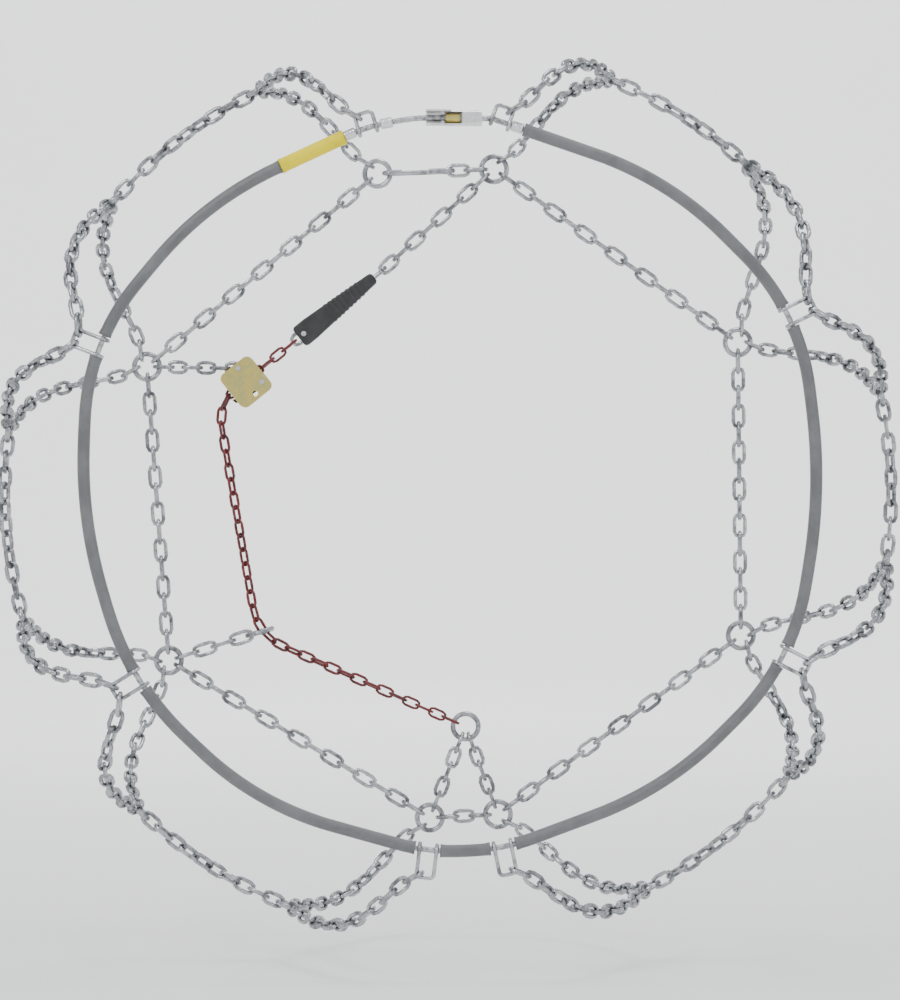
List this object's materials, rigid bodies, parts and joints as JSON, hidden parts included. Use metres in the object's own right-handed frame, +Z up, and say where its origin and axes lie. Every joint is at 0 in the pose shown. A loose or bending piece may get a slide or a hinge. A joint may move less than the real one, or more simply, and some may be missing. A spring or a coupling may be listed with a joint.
{
  "type": "tire snow chains",
  "caption": "Diamond-pattern snow chain net in its fitted shape: tread chains, closing steel cable with sleeves and coupling, side chain, red tension chain, lock and rubber handle.",
  "frame": {"origin": "centre of the wheel the chain sits on, on the axle at mid tyre width", "axes": "+Y along the axle from the closing cable side to the tensioned side, +Z up, +X right seen from the cable side"},
  "size_m": [0.6746, 0.2576, 0.6383],
  "materials": {
    "zinc": "bright zinc plating",
    "rope": "stranded bare steel",
    "ferrule": "crimped",
    "yellow_zinc": "yellow passivated zinc",
    "dark_steel": "blackened",
    "pin_steel": "satin",
    "grey_plastic": "soft tube",
    "yellow_plastic": "bright tube",
    "red_paint": "worn paint",
    "black_rubber": "moulded",
    "barrel_zinc": "folded sheet, bright zinc"
  },
  "bodies": {
    "net": {"cable_sleeves": "grey_plastic", "closing_hook": "zinc", "corner_rings": "zinc", "coupling_barrel": "barrel_zinc", "dropper_chains": "zinc", "ferrules": "ferrule", "guide_rings": "zinc", "inner_cable": "rope", "lock_body": "yellow_zinc", "lock_pins": "pin_steel", "side_chain": "zinc", "strand_1a_cable": "zinc", "strand_1a_side": "zinc", "strand_2a_cable": "zinc", "strand_2a_side": "zinc", "strand_3a_cable": "zinc", "strand_3a_side": "zinc", "strand_3b_cable": "zinc", "strand_3b_side": "zinc", "strand_4a_cable": "zinc", "strand_4a_side": "zinc", "strand_4b_cable": "zinc", "strand_4b_side": "zinc", "strand_5a_cable": "zinc", "strand_5a_side": "zinc", "strand_6a_cable": "zinc", "strand_6a_side": "zinc", "strand_7a_cable": "zinc", "strand_7a_side": "zinc", "strand_7b_cable": "zinc", "strand_7b_side": "zinc", "strand_8a_cable": "zinc", "strand_8a_side": "zinc", "strand_8b_cable": "zinc", "strand_8b_side": "zinc", "tension_chain": "red_paint", "tread_rings": "zinc", "yellow_sleeve": "yellow_plastic"},
    "cable_end": {"cable_end": "rope", "cable_stop": "yellow_zinc"},
    "handle": {"handle": "black_rubber", "handle_hook": "zinc", "handle_link": "zinc", "handle_pin": "pin_steel"},
    "pawl": {"lock_pawl": "dark_steel"},
    "shackle_1": {"shackle_1": "zinc"},
    "shackle_3": {"shackle_3": "zinc"},
    "shackle_4": {"shackle_4": "zinc"},
    "shackle_5": {"shackle_5": "zinc"},
    "shackle_6": {"shackle_6": "zinc"},
    "shackle_7": {"shackle_7": "zinc"},
    "shackle_8": {"shackle_8": "zinc"},
    "shackle_2": {"shackle_2": "zinc"},
    "segment_1_3": {"segment_1_3": "zinc"},
    "segment_3_4": {"segment_3_4": "zinc"},
    "segment_4_5": {"segment_4_5": "zinc"},
    "segment_2_8": {"segment_2_8": "zinc"},
    "segment_8_7": {"segment_8_7": "zinc"},
    "segment_7_6": {"segment_7_6": "zinc"}
  },
  "joints": [
    {"name": "cable_end_lift", "type": "hinge", "parent": "net", "child": "cable_end", "pos_m": [-0.03877, -0.117, 0.26442], "axis": [0.1558, 0, -0.9878], "range_deg": [0, 35]},
    {"name": "handle_swing", "type": "hinge", "parent": "net", "child": "handle", "pos_m": [-0.12198, 0.121, 0.11697], "axis": [-0.6271, 0, 0.7789], "range_deg": [0, 60]},
    {"name": "pawl_release", "type": "hinge", "parent": "net", "child": "pawl", "pos_m": [-0.14562, 0.121, 0.08638], "axis": [0, -1, 0], "range_deg": [0, 20], "stiffness_Nm_per_rad": 0.05, "springref_deg": -11.46},
    {"name": "shackle_1_swing", "type": "hinge", "parent": "net", "child": "shackle_1", "pos_m": [-0.05766, -0.117, 0.26009], "axis": [0.9544, 0, 0.2986], "range_deg": [-1, 1]},
    {"name": "shackle_3_swing", "type": "hinge", "parent": "net", "child": "shackle_3", "pos_m": [-0.2487, -0.117, 0.10352], "axis": [0.3594, 0, 0.9332], "range_deg": [-1, 1]},
    {"name": "shackle_4_swing", "type": "hinge", "parent": "net", "child": "shackle_4", "pos_m": [-0.22105, -0.117, -0.13335], "axis": [-0.5242, 0, 0.8516], "range_deg": [-1, 1]},
    {"name": "shackle_5_swing", "type": "hinge", "parent": "net", "child": "shackle_5", "pos_m": [-0.01428, -0.117, -0.25549], "axis": [-0.9933, 0, 0.1155], "range_deg": [-1, 1]},
    {"name": "shackle_6_swing", "type": "hinge", "parent": "net", "child": "shackle_6", "pos_m": [0.03922, -0.117, -0.25334], "axis": [-0.9804, 0, -0.1968], "range_deg": [-1, 1]},
    {"name": "shackle_7_swing", "type": "hinge", "parent": "net", "child": "shackle_7", "pos_m": [0.23895, -0.117, -0.11706], "axis": [-0.4542, 0, -0.8909], "range_deg": [-1, 1]},
    {"name": "shackle_8_swing", "type": "hinge", "parent": "net", "child": "shackle_8", "pos_m": [0.24303, -0.117, 0.12544], "axis": [0.438, 0, -0.899], "range_deg": [-1, 1]},
    {"name": "shackle_2_swing", "type": "hinge", "parent": "net", "child": "shackle_2", "pos_m": [0.03765, -0.117, 0.26455], "axis": [0.9453, 0, -0.3263], "range_deg": [-1, 1]},
    {"name": "segment_1_3_sway", "type": "hinge", "parent": "net", "child": "segment_1_3", "pos_m": [-0.14293, 0, 0.29966], "axis": [-0.796, 0, -0.6053], "range_deg": [-5, 5]},
    {"name": "segment_3_4_sway", "type": "hinge", "parent": "net", "child": "segment_3_4", "pos_m": [-0.32877, 0, 0.04621], "axis": [0.075, 0, -0.9972], "range_deg": [-5, 5]},
    {"name": "segment_4_5_sway", "type": "hinge", "parent": "net", "child": "segment_4_5", "pos_m": [-0.23063, 0, -0.23882], "axis": [0.8425, 0, -0.5388], "range_deg": [-5, 5]},
    {"name": "segment_2_8_sway", "type": "hinge", "parent": "net", "child": "segment_2_8", "pos_m": [0.12437, 0, 0.30783], "axis": [0.848, 0, -0.5299], "range_deg": [-5, 5]},
    {"name": "segment_8_7_sway", "type": "hinge", "parent": "net", "child": "segment_8_7", "pos_m": [0.32388, 0, 0.07299], "axis": [0.0323, 0, -0.9995], "range_deg": [-5, 5]},
    {"name": "segment_7_6_sway", "type": "hinge", "parent": "net", "child": "segment_7_6", "pos_m": [0.25433, 0, -0.21341], "axis": [-0.7826, 0, -0.6225], "range_deg": [-5, 5]}
  ]
}
